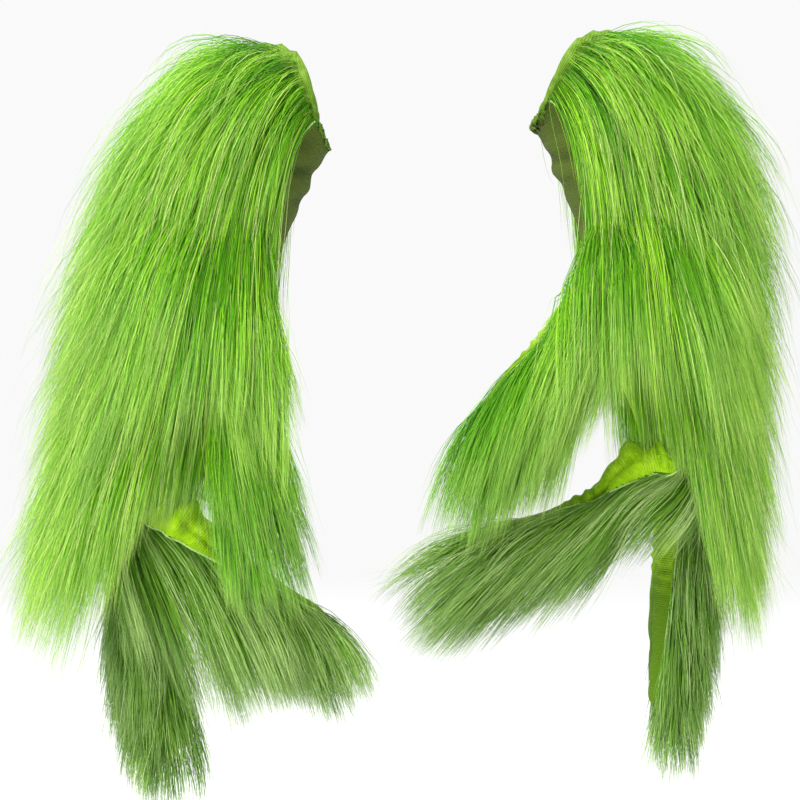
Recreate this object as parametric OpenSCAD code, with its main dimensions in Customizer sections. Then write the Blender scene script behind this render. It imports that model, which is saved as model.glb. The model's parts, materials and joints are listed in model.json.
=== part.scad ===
// A pair of long-pile costume gloves with forearm sleeves, worn shape, fingers down.
// The wearer's right hand is on the -X side and its palm faces +X; the left hand mirrors it.
// +Z is up, -Y is the thumbs' side. The origin is midway between the two cuff openings.

/* [Cloth] */
// Thickness of the backing cloth and of the plush
cloth = 2; // [1.5:0.1:2.5]
// How far the seam allowance stands above the cloth
seam_height = 1.2; // [0.8:0.1:1.4]
// Thickness of the turned hem at the cuff
hem_wall = 3.6; // [3:0.1:5]

/* [Sleeve and hand] */
// Length of the hand, from the knuckles to the wrist
hand_l = 108; // [100:1:115]
// Half the thickness of the hand at the knuckles
knuckle_half_t = 16; // [16:0.5:19]
// Half the thickness of the wrist
wrist_half_t = 25; // [22:0.5:28]
// Half the thickness of the cuff opening
cuff_half_t = 35; // [32:0.5:38]
// Half the width of the hand over the knuckles
hand_half_w = 51.5; // [48:0.5:52]
// Half the width of the wrist
wrist_half_w = 39; // [36:0.5:42]
// Half the width of the cuff opening
cuff_half_w = 44; // [40:0.5:46]

/* [Fingers] */
// Distance between the middles of neighbouring fingers
finger_pitch = 27; // [27:0.5:29]
// Radius of a finger at its root
finger_r = 13; // [11:0.5:13]
// Length of the thumb from its fold to its tip
thumb_l = 105; // [90:1:110]
// Length of the index finger from its fold to its tip
index_l = 124; // [110:1:130]
// Length of the middle finger from its fold to its tip
middle_l = 136; // [120:1:140]
// Length of the ring finger from its fold to its tip
ring_l = 128; // [110:1:134]
// Length of the little finger from its fold to its tip
little_l = 106; // [90:1:115]

/* [Fur] */
// Height of the fur on the back of the forearm
sleeve_pile = 48; // [30:1:60]
// Height of the fur on the back of the hand
hand_pile = 60; // [40:1:65]
// Height of the fur on the sides of the forearm
side_pile = 32; // [20:1:38]
// Height of the fur on the back of a finger
finger_pile = 28; // [18:1:32]
// How far the fur reaches past a fingertip
pile_reach = 18; // [10:1:22]

/* [Hidden] */
// A cross-section: centre X and Z, tilt of the limb from upright towards the palm,
// half thickness, half width and the middle's Y
X = 0;
Z = 1;
TILT = 2;
HALF_T = 3;
HALF_W = 4;
MID_Y = 5;

// Fingers: name, middle's place across the hand, length, and fur on its thumb side and other side
NAME = 0;
PLACE = 1;
LENGTH = 2;
NEAR_PILE = 3;
FAR_PILE = 4;
thumb_gap = 1;
thumb_place = -2 * finger_pitch - finger_r - thumb_gap;
outer_pile = 20;
FINGERS = [
    ["thumb", thumb_place, thumb_l, outer_pile, 0],
    ["index", -1.5 * finger_pitch, index_l, 0, 0],
    ["middle", -0.5 * finger_pitch, middle_l, 0, 0],
    ["ring", 0.5 * finger_pitch, ring_l, 0, 0],
    ["little", 1.5 * finger_pitch, little_l, 0, outer_pile]
];
THUMB = 0;

// Where each glove is held, in its own X and Z before the left one is mirrored:
// knuckle fold, wrist, bend of the sleeve and cuff, then how far each finger
// is folded away from straight down, thumb first
KNUCKLE = 0;
WRIST = 1;
BEND = 2;
CUFF = 3;
FOLDS = 4;
RIGHT = [[-144, 155], [-107, 256], [-87, 361], [-60, 384], [5, 57, 8, 4, 0]];
LEFT = [[-159, 176], [-133, 280], [-124, 367], [-98, 393], [40, 68, 5, 4, 3]];
origin_x = (RIGHT[CUFF][X] - LEFT[CUFF][X]) / 2;
origin_z = (RIGHT[CUFF][Z] + LEFT[CUFF][Z]) / 2;
SIDES = ["right", "left"];
FINGER_PIECES = ["back", "palm", "pile"];
ARM_PIECES = ["cuff_hem", "sleeve_back", "sleeve_palm", "side_seams", "sleeve_pile"];

fur_green = "#6fbf2e";
backing_green = "#5fa52a";
plush_green = "#9acd18";
seam_green = "#c3d98a";
steps = 12;              // facets across a panel
seam_steps = 3;          // facets across a seam allowance
arm_rings = 12;          // facets along the arm
seam_angle = 62;         // where the fur panel meets the plush panel on the arm
seam_gap = 1.5;          // half the angle left between the two panels
finger_seam_angle = 90;
fur_angle = 93;          // the fur's bulk starts here and covers the back
thumb_along = 108;       // the thumb's fold, measured up the hand and out to the palm
thumb_out = 22;
hand_clear = 1.5;        // the hand's panels stop this far above the finger roots' radius
hem_start = 1.83;        // the hem begins here along the sleeve: 1 is the wrist, 2 the cuff
forearm = 1.5;           // half way up the sleeve
pile_gap = 0.6;          // between the fur's bulk and the sleeve's cloth
finger_pile_gap = 0.3;   // and a finger's cloth: the fingers lie side by side
seam_lift = 0.1;         // between a seam allowance and the cloth under it

function pose(side) = side == "right" ? RIGHT : LEFT;
function mix(a, b, t) = a + (b - a) * t;
function tilt_of(v) = atan2(v[X], v[Z]);

// Centre line of the arm: 0 is the knuckle fold, 1 the wrist and 2 the cuff
function wrist_start(p) = p[KNUCKLE] + (p[WRIST] - p[KNUCKLE]) / norm(p[WRIST] - p[KNUCKLE]) * hand_l;
function sleeve_point(p, t) = mix(mix(wrist_start(p), p[BEND], t), mix(p[BEND], p[CUFF], t), t);
function sleeve_tilt(p, t) = tilt_of(mix(p[BEND] - wrist_start(p), p[CUFF] - p[BEND], t));
function hand_tilt(p) = tilt_of(p[WRIST] - p[KNUCKLE]);
function arm_point(p, u) = u < 1 ? mix(p[KNUCKLE], wrist_start(p), u) : sleeve_point(p, u - 1);
function arm_tilt(p, u) = u < 1 ? mix(hand_tilt(p), sleeve_tilt(p, 0), u * u) : sleeve_tilt(p, u - 1);
function arm_half_t(u) = lookup(u, [
    [0, knuckle_half_t],
    [0.5, mix(knuckle_half_t, wrist_half_t, 0.6)],
    [1, wrist_half_t],
    [1.5, mix(wrist_half_t, cuff_half_t, 0.9)],
    [2, cuff_half_t]
]);
function arm_half_w(u) = lookup(u, [
    [0, hand_half_w],
    [0.5, hand_half_w],
    [1, wrist_half_w],
    [2, cuff_half_w]
]);
function arm_section(p, u) =
    let (c = arm_point(p, u)) [c[X], c[Z], arm_tilt(p, u), arm_half_t(u), arm_half_w(u), 0];
function grown(s, by) = [s[X], s[Z], s[TILT], s[HALF_T] + by, s[HALF_W] + by, s[MID_Y]];
function span(from, to, count) = [for (i = [0:count]) mix(from, to, i / count)];

// A point on a cross-section: 0 faces the palm, 90 the little finger's side, 180 the back
function rim_point(s, a) = [
    s[X] + s[HALF_T] * cos(a) * cos(s[TILT]),
    s[MID_Y] + s[HALF_W] * sin(a),
    s[Z] - s[HALF_T] * cos(a) * sin(s[TILT])
];

// Two triangles between points a, b on one ring and d, c on the next
function quad(a, b, c, d) = [[a, b, c], [a, c, d]];

// A curved panel between two lists of cross-sections, from one angle to another
module panel(outer, inner, from, to, steps = steps) {
    m = 2 * (steps + 1);
    last = (len(outer) - 1) * m;
    angles = span(from, to, steps);
    points = [
        for (i = [0:len(outer) - 1]) each concat(
            [for (a = angles) rim_point(outer[i], a)],
            [for (j = [steps:-1:0]) rim_point(inner[i], angles[j])]
        )
    ];
    walls = [
        for (i = [0:len(outer) - 2], j = [0:m - 1])
            each quad(i * m + j, i * m + (j + 1) % m, (i + 1) * m + (j + 1) % m, (i + 1) * m + j)
    ];
    first_end = [for (j = [0:steps - 1]) each quad(j, m - 1 - j, m - 2 - j, j + 1)];
    last_end = [
        for (j = [0:steps - 1]) each quad(last + j, last + j + 1, last + m - 2 - j, last + m - 1 - j)
    ];
    polyhedron(points, concat(walls, first_end, last_end));
}

// A closed band between two lists of cross-sections
module band(outer, inner) {
    n = 2 * steps;
    rings = len(outer);
    angles = [for (j = [0:n - 1]) 360 * j / n];
    points = concat(
        [for (s = outer, a = angles) rim_point(s, a)],
        [for (s = inner, a = angles) rim_point(s, a)]
    );
    back = rings * n;
    walls = [
        for (i = [0:rings - 2], j = [0:n - 1])
            let (k = (j + 1) % n)
            each concat(
                quad(i * n + j, i * n + k, (i + 1) * n + k, (i + 1) * n + j),
                quad(back + i * n + k, back + i * n + j, back + (i + 1) * n + j, back + (i + 1) * n + k)
            )
    ];
    top = (rings - 1) * n;
    ends = [
        for (j = [0:n - 1])
            let (k = (j + 1) % n)
            each concat(
                quad(k, j, back + j, back + k),
                quad(top + j, top + k, back + top + k, back + top + j)
            )
    ];
    polyhedron(points, concat(walls, ends));
}

// Puts a glove's piece on its own side of the pair, and the pair round its origin
module placed(side) {
    translate([-origin_x, 0, -origin_z])
        mirror([side == "left" ? 1 : 0, 0, 0])
            children();
}

// Where the hand's panels stop, clear of the fingers' roots as they fold
hand_end = (finger_r + hand_clear) / hand_l;

// Sections of the arm between two places along it
function arm_sections(side, from, to, by) = [
    for (u = span(from, to, arm_rings)) grown(arm_section(pose(side), u), by)
];

module cuff_hem(side) {
    places = span(hem_start, 2, 3);
    sections = [for (u = places) arm_section(pose(side), u)];
    color(seam_green)
        placed(side)
            band(
                [for (s = sections) grown(s, (hem_wall - cloth) / 2)],
                [for (s = sections) grown(s, -(hem_wall + cloth) / 2)]
            );
}

module sleeve_back(side) {
    color(backing_green)
        placed(side)
            panel(
                arm_sections(side, hand_end, hem_start, 0),
                arm_sections(side, hand_end, hem_start, -cloth),
                seam_angle + seam_gap,
                360 - seam_angle - seam_gap
            );
}

module sleeve_palm(side) {
    color(plush_green)
        placed(side)
            panel(
                arm_sections(side, hand_end, hem_start, 0),
                arm_sections(side, hand_end, hem_start, -cloth),
                -seam_angle + seam_gap,
                seam_angle - seam_gap
            );
}

module side_seams(side) {
    color(seam_green)
        placed(side)
            for (middle = [-seam_angle, seam_angle])
                panel(
                    arm_sections(side, hand_end, hem_start, seam_height),
                    arm_sections(side, hand_end, hem_start, seam_lift),
                    middle - 2 * seam_gap,
                    middle + 2 * seam_gap,
                    seam_steps
                );
}

// The fur stands off the back panel. On the thumb's side it thins out where the thumb folds.
function fur_section(side, u, out) =
    let (
        s = arm_section(pose(side), u),
        at_hem = side_pile / 3,
        height = lookup(u, [[1, hand_pile], [forearm, sleeve_pile], [hem_start, sleeve_pile / 2]]),
        little_side = lookup(u, [[forearm, side_pile], [hem_start, at_hem]]),
        thumb_side = lookup(u, [[1.15, seam_height], [forearm - 0.1, side_pile], [hem_start, at_hem]])
    )
    out
        ? [s[X], s[Z], s[TILT], s[HALF_T] + height, s[HALF_W] + (little_side + thumb_side) / 2,
            (little_side - thumb_side) / 2]
        : grown(s, pile_gap);

module sleeve_pile(side) {
    places = span(hand_end, hem_start, arm_rings);
    color(fur_green)
        placed(side)
            panel(
                [for (u = places) fur_section(side, u, true)],
                [for (u = places) fur_section(side, u, false)],
                fur_angle,
                360 - fur_angle
            );
}

// Radius of a finger along its length: rounded about its fold, then slim, then a round tip
function finger_profile(length, r) = [
    [-0.6 * r, 0.8 * r],
    [-0.3 * r, 0.95 * r],
    [0, r],
    [0.5 * length, 0.96 * r],
    [length - r, 0.88 * r],
    [length - 0.5 * r, 0.72 * r],
    [length - 0.15 * r, 0.4 * r],
    [length, 0.06 * r]
];

// The fold of a finger: the four fingers share the knuckle line, the thumb has its own
function fold_point(side, f) =
    let (p = pose(side), tilt = hand_tilt(p))
    f == THUMB
        ? p[KNUCKLE] + thumb_along * [sin(tilt), cos(tilt)] + thumb_out * [cos(tilt), -sin(tilt)]
        : p[KNUCKLE];
function fold_angle(side, f) = pose(side)[FOLDS][f];

// A cross-section of a finger at a distance from its fold
function finger_section(side, f, along, half_t, half_w, shift) =
    let (c = fold_point(side, f), a = fold_angle(side, f))
    [c[X] + along * sin(a), c[Z] - along * cos(a), -a, half_t, half_w, FINGERS[f][PLACE] + shift];
function finger_sections(side, f, length, r) = [
    for (k = finger_profile(length, r)) finger_section(side, f, k[0], k[1], k[1], 0)
];

module finger_panel(side, f, from, to) {
    length = FINGERS[f][LENGTH];
    placed(side)
        panel(
            finger_sections(side, f, length, finger_r),
            finger_sections(side, f, length - cloth, finger_r - cloth),
            from,
            to
        );
}

module finger_back(side, f) {
    color(backing_green)
        finger_panel(side, f, finger_seam_angle + seam_gap, 360 - finger_seam_angle - seam_gap);
}

module finger_palm(side, f) {
    color(plush_green)
        finger_panel(side, f, -finger_seam_angle + seam_gap, finger_seam_angle - seam_gap);
}

module finger_fur(side, f) {
    length = FINGERS[f][LENGTH];
    near = FINGERS[f][NEAR_PILE];
    far = FINGERS[f][FAR_PILE];
    profile = finger_profile(length, finger_r);
    round_tip = [for (k = profile) if (k[0] > length - finger_r) k[0]];
    places = concat(span(1.2 * finger_r, length - finger_r, 5), round_tip, [length + pile_reach]);
    function inner_r(along) = (along > length ? 0 : lookup(along, profile)) + finger_pile_gap;
    bulk_profile = [[0.1, 0.6], [0.35, 1], [0.8, 0.85], [1, 0.6], [1.15, 0.2]];
    color(fur_green)
        placed(side)
            panel(
                [
                    for (along = places)
                        let (
                            bulk = lookup(along / length, bulk_profile),
                            half_t = finger_r + finger_pile * bulk,
                            side_bulk = (near + far) / 2 * bulk,
                            half_w = max(inner_r(along) + finger_pile_gap / 2, finger_r * bulk) + side_bulk
                        )
                        finger_section(side, f, along, half_t, half_w, (far - near) / 2 * bulk)
                ],
                [for (along = places) finger_section(side, f, along, inner_r(along), inner_r(along), 0)],
                fur_angle,
                360 - fur_angle
            );
}

for (side = SIDES) {
    cuff_hem(side);
    sleeve_back(side);
    sleeve_palm(side);
    side_seams(side);
    sleeve_pile(side);
    for (f = [0:len(FINGERS) - 1]) {
        finger_back(side, f);
        finger_palm(side, f);
        finger_fur(side, f);
    }
}
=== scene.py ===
"""A pair of long-pile costume gloves: sewn cloth skins, plush palms and combed fake fur.

Lengths in the tables are millimetres; everything built is in metres, in the frame's own axes:
+Z up, -Y the thumbs' side, the wearer's right glove on the -X side.
"""

import json
import math

import bmesh
import bpy
import numpy as np
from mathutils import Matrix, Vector
from mathutils.bvhtree import BVHTree
from mathutils.kdtree import KDTree


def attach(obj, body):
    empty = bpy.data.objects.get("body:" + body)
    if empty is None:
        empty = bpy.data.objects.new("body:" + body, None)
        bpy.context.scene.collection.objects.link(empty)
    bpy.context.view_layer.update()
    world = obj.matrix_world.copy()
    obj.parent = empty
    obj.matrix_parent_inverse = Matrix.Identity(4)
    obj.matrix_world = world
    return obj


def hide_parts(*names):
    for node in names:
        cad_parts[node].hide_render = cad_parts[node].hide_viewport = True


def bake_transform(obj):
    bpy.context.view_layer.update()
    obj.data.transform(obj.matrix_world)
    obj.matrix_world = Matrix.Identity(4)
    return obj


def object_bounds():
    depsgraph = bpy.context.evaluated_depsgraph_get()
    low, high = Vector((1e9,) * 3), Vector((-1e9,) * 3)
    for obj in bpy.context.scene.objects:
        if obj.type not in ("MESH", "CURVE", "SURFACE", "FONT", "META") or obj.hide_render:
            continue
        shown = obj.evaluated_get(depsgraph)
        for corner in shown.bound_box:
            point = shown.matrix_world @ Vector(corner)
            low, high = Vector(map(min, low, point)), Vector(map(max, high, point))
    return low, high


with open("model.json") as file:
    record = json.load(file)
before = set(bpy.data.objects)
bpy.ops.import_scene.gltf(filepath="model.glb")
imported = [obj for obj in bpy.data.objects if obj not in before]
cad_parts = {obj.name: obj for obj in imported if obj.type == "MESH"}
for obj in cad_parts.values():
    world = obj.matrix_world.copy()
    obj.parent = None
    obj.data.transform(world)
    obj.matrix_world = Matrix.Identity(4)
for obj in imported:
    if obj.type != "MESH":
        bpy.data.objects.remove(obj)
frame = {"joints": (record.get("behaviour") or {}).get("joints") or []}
cad_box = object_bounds()
rng = np.random.default_rng(11)

MM = 0.001
DOWN = np.array([0.0, 0.0, -1.0])
HELD = "held_sleeves"  # the body of both sleeves

# Where each glove is held: X and Z of the knuckle fold, the wrist, the bend of the sleeve and the
# cuff, before the left glove is mirrored. folds says how far each finger is folded from straight
# down, and turns how far its empty cloth is turned about its own length, away from the thumb's side.
# The index finger's cloth arches above its fold and crumples there. Under fur, reach and at_root
# stretch a finger's strands, weight makes them heavier and sway leans them sideways. lift_along is
# how much the sleeve's hair stands up at the LIFT_STOPS, and over_knuckles how far it hangs past
# the knuckle folds.
POSES = {
    "right": {
        "knuckle": (-144, 155),
        "wrist": (-107, 256),
        "bend": (-87, 361),
        "cuff": (-60, 384),
        "folds": {"thumb": 5, "index": 57, "middle": 8, "ring": 4, "little": 0},
        "turns": {"thumb": 38, "index": 0, "middle": 45, "ring": 30, "little": 20},
        "index_arch": 5,
        "index_crumple": 5,
        "fur": {
            "index": {"reach": 1.02, "weight": 3.4, "sway": 0.0, "at_root": 1.55},
            "thumb": {"reach": 1.0, "weight": 1.0, "sway": 0.4, "at_root": 1.0},
        },
        "lift_along": (1.0, 1.4, 0.8),
        "over_knuckles": 8,
    },
    "left": {
        "knuckle": (-159, 176),
        "wrist": (-133, 280),
        "bend": (-124, 367),
        "cuff": (-98, 393),
        "folds": {"thumb": 40, "index": 68, "middle": 5, "ring": 4, "little": 3},
        "turns": {"thumb": 12, "index": 24, "middle": 6, "ring": 0, "little": 0},
        "index_arch": 9,
        "index_crumple": 6,
        "fur": {
            "index": {"reach": 1.35, "weight": 1.0, "sway": 0.0, "at_root": 0.72},
            "thumb": {"reach": 1.12, "weight": 2.4, "sway": 0.3, "at_root": 1.15},
        },
        "lift_along": (1.0, 0.82, 0.25),
        "over_knuckles": 4,
    },
}
MIRROR = {"right": 1, "left": -1}  # the left glove is the right one turned over in X
ORIGIN = (19, 388.5)  # X and Z of the frame's origin in a glove's own millimetres
HAND = 108  # from the wrist to the knuckle folds

# How far each finger's fold lies from the middle of the hand, and how far its tip is past the fold
FINGERS = {
    "thumb": {"place": -68, "length": 105},
    "index": {"place": -40.5, "length": 124},
    "middle": {"place": -13.5, "length": 136},
    "ring": {"place": 13.5, "length": 128},
    "little": {"place": 40.5, "length": 106},
}
FINGER_R = 12.3  # a finger's radius at its fold
SLEEVE_RINGS = 26  # from past the cuff to the wrist
BEND_RINGS = 14  # round a finger's fold
BEND_REACH = 15  # from the fold to where the finger is straight
VOXEL = 1.7  # the size of the skin's faces
WALL = 1.5  # the thickness of the sleeve's cloth
HEM_WIDTH = 12
BOW = 11  # how far the cuff's edge stands up at the thumb's and little finger's sides
DEEPEST = 3  # cloth that sinks this far has the crease value 0, where the painted crease shade is darkest, and level cloth 0.5

# Where the fur panel's edge lies round each finger: distances from the fold, degrees from the palm
FUR_EDGE = {
    "thumb": ((0, 40, 105), (58, 54, 40)),
    "index": ((-12, 26, 50, 85, 124), (116, 110, 84, 48, 34)),
    "middle": ((0, 60, 136), (90, 82, 60)),
    "ring": ((0, 60, 128), (90, 82, 60)),
    "little": ((0, 60, 106), (90, 82, 60)),
}


# ---------------------------------------------------------------- small helpers


def hill(x, middle, width):
    """One at the middle, and falling to nothing about two widths away."""
    return np.exp(-(((x - middle) / width) ** 2))


def unit(v):
    """Each row of v at length one."""
    return v / np.maximum(np.linalg.norm(v, axis=-1, keepdims=True), 1e-12)


def smoothstep(x):
    """Nothing below 0, one above 1, and a smooth rise between."""
    x = np.clip(x, 0, 1)
    return x * x * (3 - 2 * x)


def ripple(p, scale, seed):
    """Smooth noise, mostly from -1 to 1, over points p, with bumps about scale metres wide."""
    r = np.random.default_rng(seed)
    waves = r.normal(size=(7, 3)) * 2.2 / scale
    phase = r.uniform(0, 2 * math.pi, 7)
    return np.sin(p @ waves.T + phase).sum(axis=1) / 4


def in_frame(side, x, y, z):
    """A point in a glove's own millimetres, in the frame's metres."""
    return np.array([MIRROR[side] * x - ORIGIN[0], y, z - ORIGIN[1]]) * MM


def heading(side, degrees):
    """The way a limb points when it is folded that far from straight down towards the palm."""
    a = math.radians(degrees)
    return np.array([MIRROR[side] * math.sin(a), 0, -math.cos(a)])


def joint_place(name):
    """The fold's place in the frame, from the CAD's own joint."""
    joint = next(j for j in frame["joints"] if j["name"] == name)
    return np.array(joint["pos_m"])


# ---------------------------------------------------------------- limbs


class Limb:
    """A tube of cloth along a centre line, from its root to its tip, with its palm side."""

    def __init__(self, name, centre, palm, half_t, half_w, fold=0.0):
        self.name = name
        self.centre = np.array(centre)
        self.along = unit(np.gradient(self.centre, axis=0))
        palm = np.array(palm)
        self.palm = unit(palm - (palm * self.along).sum(1, keepdims=True) * self.along)
        side = np.cross(self.along, self.palm)
        self.side = side * np.sign(side[0, 1])
        self.half_t = np.array(half_t)
        self.half_w = np.array(half_w)
        gaps = np.linalg.norm(np.diff(self.centre, axis=0), axis=1)
        self.dist = np.concatenate([[0], np.cumsum(gaps)]) - fold

    def locate(self, p):
        """Where points lie round the limb: nearest ring, distance along, angle and relative radius."""
        near = np.empty(len(p), int)
        batch = 20000
        for start in range(0, len(p), batch):
            part = p[start : start + batch, None] - self.centre[None]
            near[start : start + batch] = (part**2).sum(-1).argmin(1)
        offset = p - self.centre[near]
        ahead = (offset * self.along[near]).sum(1)
        n = (offset * self.palm[near]).sum(1) / self.half_t[near]
        y = (offset * self.side[near]).sum(1) / self.half_w[near]
        past = np.where(near == 0, -ahead, np.where(near == len(self.centre) - 1, ahead, 0))
        return {
            "ring": near,
            "dist": self.dist[near] + ahead,
            "angle": np.degrees(np.arctan2(y, n)),
            "radius": np.hypot(n, y),
            "past": np.maximum(past, 0),
            "out": unit(offset - ahead[:, None] * self.along[near]),
        }

    def rim(self, ring, degrees, lift=0.0):
        """Points on the limb's surface at the given rings and angles."""
        a = np.radians(degrees)
        t = (self.half_t[ring] + lift) * np.cos(a)
        w = (self.half_w[ring] + lift) * np.sin(a)
        return self.centre[ring] + self.palm[ring] * t[:, None] + self.side[ring] * w[:, None]


def arm_limb(side):
    """Sleeve and hand, from the cuff down to just above the knuckle folds."""
    pose = POSES[side]
    knuckle, wrist, bend, cuff = (np.array(pose[k], float) for k in ("knuckle", "wrist", "bend", "cuff"))
    up = unit(wrist - knuckle)
    wrist = knuckle + up * HAND
    # 0 is the knuckle folds, 1 the wrist and 2 the cuff; the tube starts past the cuff, to be cut
    sleeve = np.linspace(2.34, 1, SLEEVE_RINGS)
    hand = np.linspace(0.96, 0.1, 20)
    round_end = [0.07, 0.04, 0.02]
    places = np.concatenate([sleeve, hand, round_end])
    end_size = np.interp(places, [*round_end[::-1], 0.1], [0.3, 0.72, 0.93, 1.0])
    centre, palm = [], []
    for u in places:
        t = u - 1
        if u < 1:
            at = knuckle + (wrist - knuckle) * u
            direction = up
        else:
            at = (1 - t) ** 2 * wrist + 2 * t * (1 - t) * bend + t * t * cuff
            direction = unit((1 - t) * (bend - wrist) + t * (cuff - bend))
        centre.append(in_frame(side, at[0], 0, at[1]))
        palm.append([MIRROR[side] * direction[1], 0, -direction[0]])
    half_t = np.interp(places, [0, 0.5, 1, 1.5, 2], [15.5, 21.4, 25, 34, 35]) * end_size
    half_w = np.interp(places, [0, 0.5, 1, 2], [51.5, 51.5, 39, 44]) * (0.6 + 0.4 * end_size)
    limb = Limb("arm", centre, palm, half_t * MM, half_w * MM)
    limb.dist -= np.interp(2, places[::-1], limb.dist[::-1])
    return limb


def curve_points(start, corner, end, count):
    """A smooth bend from start to end round a corner."""
    t = np.linspace(0, 1, count)[:, None]
    return (1 - t) ** 2 * start + 2 * t * (1 - t) * corner + t * t * end


def finger_limb(side, name, arm):
    """A finger or thumb: it leaves the hand, bends at its fold and ends in a round tip."""
    facts = FINGERS[name]
    pose = POSES[side]
    fold = joint_place(f"{side}_{name}_fold")
    fold[1] = facts["place"] * MM
    down = heading(side, pose["folds"][name])
    in_hand = -6  # a ring of the arm that is inside the hand
    hand_down = arm.along[in_hand]
    reach = BEND_REACH * MM
    if name == "thumb":
        root = arm.centre[SLEEVE_RINGS] + np.array([0, -22 * MM, 0])
        corner = fold - hand_down * 4 * MM
    else:
        root = fold - hand_down * 20 * MM
        corner = fold
    bend = curve_points(root, corner, fold + down * reach, BEND_RINGS)
    straight = fold + down * np.linspace(reach, facts["length"] * MM, 30)[1:, None]
    centre = np.concatenate([bend, straight])
    turn = smoothstep(np.linspace(0, 1, BEND_RINGS))[:, None]
    palm_end = np.array([-MIRROR[side] * down[2], 0, MIRROR[side] * down[0]])
    palm_bend = arm.palm[in_hand] * (1 - turn) + palm_end * turn
    palm = np.concatenate([palm_bend, np.tile(palm_end, (len(straight), 1))])
    twist = math.radians(pose["turns"][name]) * smoothstep(np.linspace(0, 2, len(palm)))[:, None]
    palm = palm * np.cos(twist) + np.array([0, 1, 0]) * np.sin(twist)
    gaps = np.linalg.norm(np.diff(centre, axis=0), axis=1)
    dist = np.concatenate([[0], np.cumsum(gaps)])
    fold_at = dist[np.linalg.norm(centre - fold, axis=1).argmin()]
    if name == "index":
        hump = hill(dist, fold_at + 20 * MM, 24 * MM) * smoothstep(dist / (18 * MM))
        centre = centre + palm_end * (pose["index_arch"] * MM * hump)[:, None]
    left = dist[-1] - dist
    size = FINGER_R * MM
    round_tip = np.sqrt(np.clip(1 - (1 - np.clip(left / size, 0, 1)) ** 2, 0.004, 1))
    narrowing = np.interp(dist - fold_at, [0, 0.5 * dist[-1], dist[-1]], [1.0, 0.94, 0.84])
    radius = size * narrowing * round_tip
    if name == "thumb":
        radius = radius * np.interp(dist, [0, fold_at, fold_at + 0.05], [1.35, 1.24, 1.1])
    return Limb(name, centre, palm, radius, radius, fold_at)


# ---------------------------------------------------------------- meshes


def new_object(name, mesh):
    """An object of the scene with that mesh, light or camera."""
    obj = bpy.data.objects.new(name, mesh)
    bpy.context.scene.collection.objects.link(obj)
    return obj


def fill_mesh(mesh, verts, corners, sizes):
    """Writes vertices and faces quickly: corners is every face's vertices in one row."""
    mesh.vertices.add(len(verts))
    mesh.vertices.foreach_set("co", np.asarray(verts, np.float32).ravel())
    mesh.loops.add(len(corners))
    mesh.loops.foreach_set("vertex_index", np.asarray(corners, np.int32))
    mesh.polygons.add(len(sizes))
    starts = np.concatenate([[0], np.cumsum(sizes)[:-1]])
    mesh.polygons.foreach_set("loop_start", starts.astype(np.int32))
    mesh.polygons.foreach_set("use_smooth", np.ones(len(sizes), bool))
    mesh.update(calc_edges=True)
    mesh.validate()
    return mesh


def tube_faces(rings, count):
    """Quads between rings of count vertices, and one face over each end."""
    i, j = np.meshgrid(np.arange(rings - 1), np.arange(count), indexing="ij")
    k = (j + 1) % count
    quads = np.stack([i * count + j, i * count + k, (i + 1) * count + k, (i + 1) * count + j], -1)
    ends = [list(range(count)), list(range(rings * count - 1, (rings - 1) * count - 1, -1))]
    return quads.reshape(-1, 4).tolist() + ends


def gathered(parts):
    """Several pairs of vertices and faces as one pair."""
    verts, faces, start = [], [], 0
    for v, f in parts:
        verts.append(v)
        faces += [[c + start for c in face] for face in f]
        start += len(v)
    return np.concatenate(verts), faces


def face_outwards(mesh):
    """Turns a closed mesh's faces so that they all face out."""
    bm = bmesh.new()
    bm.from_mesh(mesh)
    bmesh.ops.recalc_face_normals(bm, faces=bm.faces)
    bm.to_mesh(mesh)
    bm.free()


def limb_solid(limb, count=32):
    """A limb as a closed tube: its vertices and faces."""
    angles = np.tile(np.linspace(0, 360, count, endpoint=False), len(limb.centre))
    rings = np.repeat(np.arange(len(limb.centre)), count)
    return limb.rim(rings, angles), tube_faces(len(limb.centre), count)


def read_mesh(mesh):
    """A mesh's vertices, and its faces as rows of four; a triangle repeats its first corner."""
    verts = np.empty(len(mesh.vertices) * 3, np.float32)
    mesh.vertices.foreach_get("co", verts)
    quads = np.array([p.vertices[:] if len(p.vertices) == 4 else (*p.vertices[:], p.vertices[0])
                      for p in mesh.polygons])
    return verts.reshape(-1, 3).astype(float), quads


def joined_skin(side, limbs):
    """All of a glove's limbs as one smooth closed skin: its vertices and four-cornered faces."""
    verts, faces = gathered(limb_solid(limb) for limb in limbs)
    mesh = bpy.data.meshes.new(side + "_skin")
    mesh.from_pydata(verts.tolist(), [], faces)
    face_outwards(mesh)
    obj = new_object(side + "_skin", mesh)
    remesh = obj.modifiers.new("remesh", "REMESH")
    remesh.mode = "VOXEL"
    remesh.voxel_size = VOXEL * MM
    smooth = obj.modifiers.new("smooth", "SMOOTH")
    smooth.factor = 0.5
    smooth.iterations = 7
    shown = obj.evaluated_get(bpy.context.evaluated_depsgraph_get())
    result = bpy.data.meshes.new_from_object(shown)
    skin = read_mesh(result)
    bpy.data.objects.remove(obj)
    return skin


def vertex_normals(verts, quads):
    """The way each vertex faces, as the mean of its faces by area."""
    a, b, c, d = (verts[quads[:, i]] for i in range(4))
    face = np.cross(c - a, d - b)
    normals = np.zeros_like(verts)
    for i in range(4):
        np.add.at(normals, quads[:, i], face)
    return unit(normals)


def nearest_limb(limbs, p):
    """For each point, which limb's surface it is on, and where round that limb."""
    found = [limb.locate(p) for limb in limbs]
    score = np.stack([f["radius"] + f["past"] / (4 * MM) for f in found])
    which = score.argmin(0)
    place = {
        key: np.choose(which, [f[key] for f in found]) for key in ("ring", "dist", "angle", "radius")
    }
    return which, place


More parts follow.
